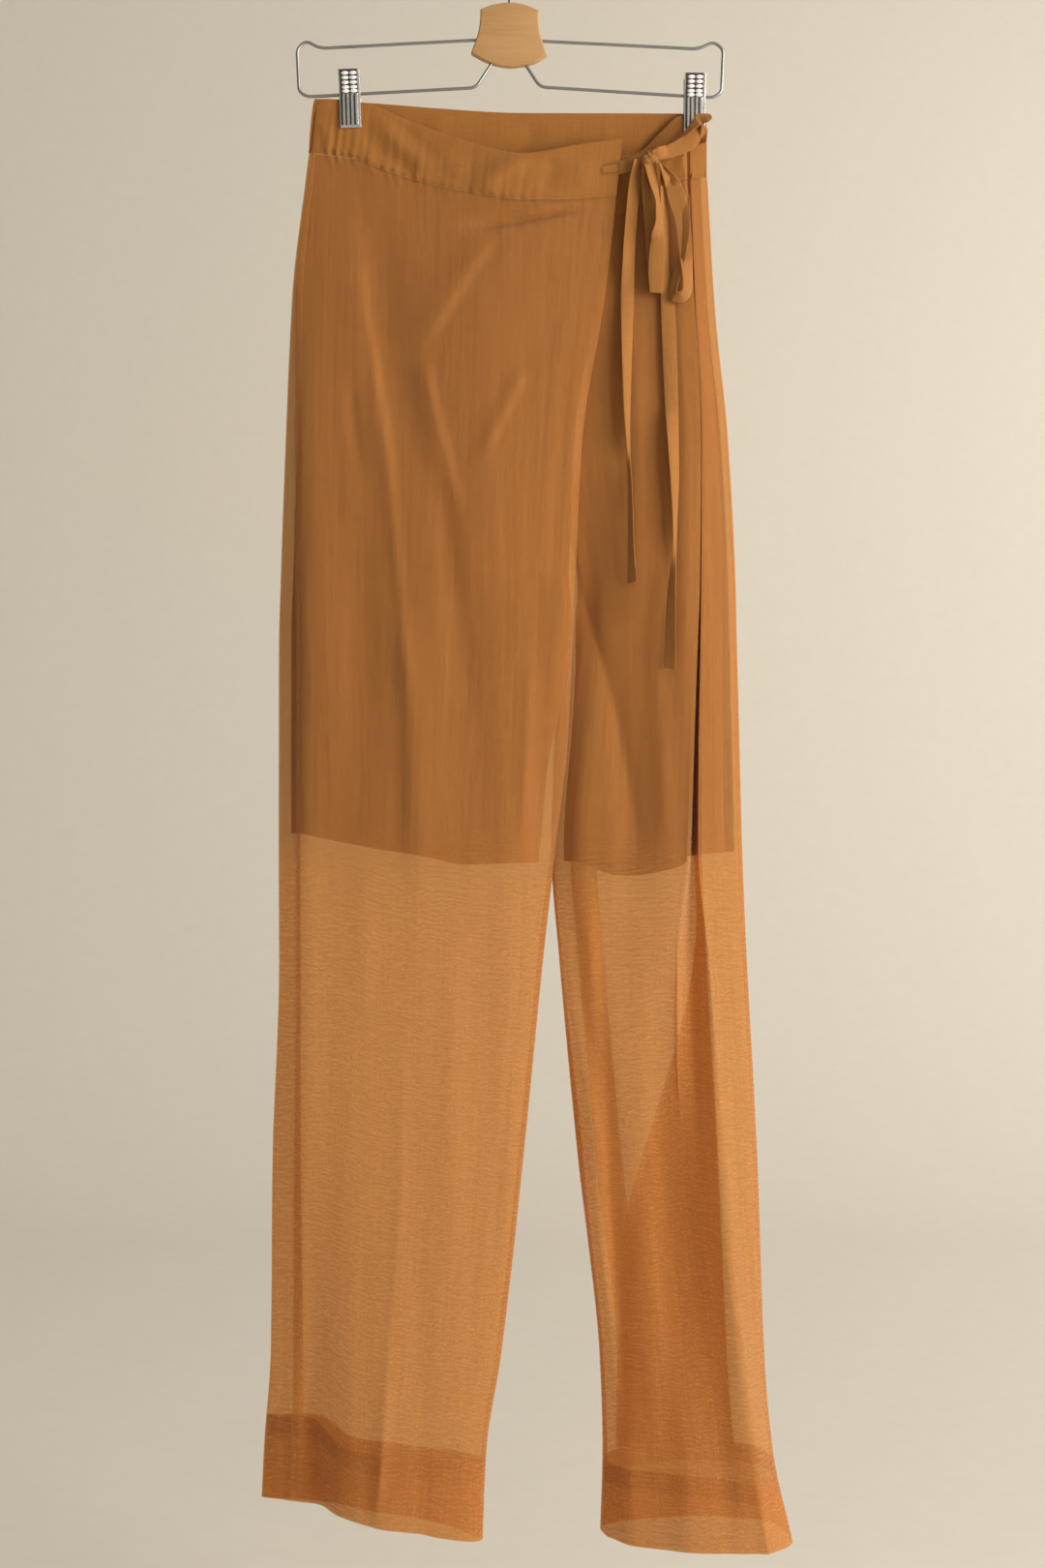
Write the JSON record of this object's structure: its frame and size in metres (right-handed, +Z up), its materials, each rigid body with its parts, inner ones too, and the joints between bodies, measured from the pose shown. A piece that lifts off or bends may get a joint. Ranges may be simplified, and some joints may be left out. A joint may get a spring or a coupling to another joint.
{
  "type": "wrap pants on a clip hanger",
  "caption": "Sheer caramel wrap pants with a short lining and side-tied waist, hanging flat from a wire clip hanger with a wooden block.",
  "frame": {"origin": "the point inside the top of the hanger's hook where a rod carries it", "axes": "+Z up, +X to the viewer's right as the front is seen, -Y towards the viewer: the garment's front faces -Y"},
  "size_m": [0.4106, 0.0929, 1.2527],
  "materials": {
    "sheer_cloth": "fine sheer woven cloth, matte, lets light through",
    "band_cloth": "two layers of the same sheer cloth, matte",
    "lining": "soft matte lining of the same colour",
    "ties": "folded straps of the same cloth",
    "wire": "dull grey steel wire",
    "clips": "bright pressed steel",
    "wood_block": "smooth light wood, grain across, thin clear varnish"
  },
  "bodies": {
    "root": {"right_front_side": "sheer_cloth", "right_front_hip": "sheer_cloth", "right_front_leg": "sheer_cloth", "right_front_inner": "sheer_cloth", "left_front_inner_hip": "sheer_cloth", "left_front_inner_leg": "sheer_cloth", "left_front_hip": "sheer_cloth", "left_front_leg": "sheer_cloth", "left_front_fold": "sheer_cloth", "left_front_side": "sheer_cloth", "right_back_hip": "sheer_cloth", "right_back_inner": "sheer_cloth", "right_back_leg": "sheer_cloth", "right_back_side": "sheer_cloth", "left_back_side": "sheer_cloth", "left_back_hip": "sheer_cloth", "left_back_leg": "sheer_cloth", "left_back_inner": "sheer_cloth", "waistband_wrap": "band_cloth", "waistband_under": "band_cloth", "waistband_back": "band_cloth", "lining_right_front": "lining", "lining_right_back": "lining", "lining_left_front": "lining", "lining_left_back": "lining", "tie_wrap": "ties", "tie_side": "ties", "tie_twist": "ties", "bow_knot": "ties", "bow_loop_left": "ties", "bow_loop_left_back": "ties", "bow_loop_right": "ties", "bow_loop_right_back": "ties", "tail_left": "ties", "tail_right": "ties", "hanger_wire_left": "wire", "hanger_wire_right": "wire", "hanger_hook": "wire", "clip_left_front": "clips", "clip_left_back": "clips", "clip_left_spring": "clips", "clip_right_front": "clips", "clip_right_back": "clips", "clip_right_spring": "clips", "hanger_block": "wood_block"}
  },
  "joints": []
}
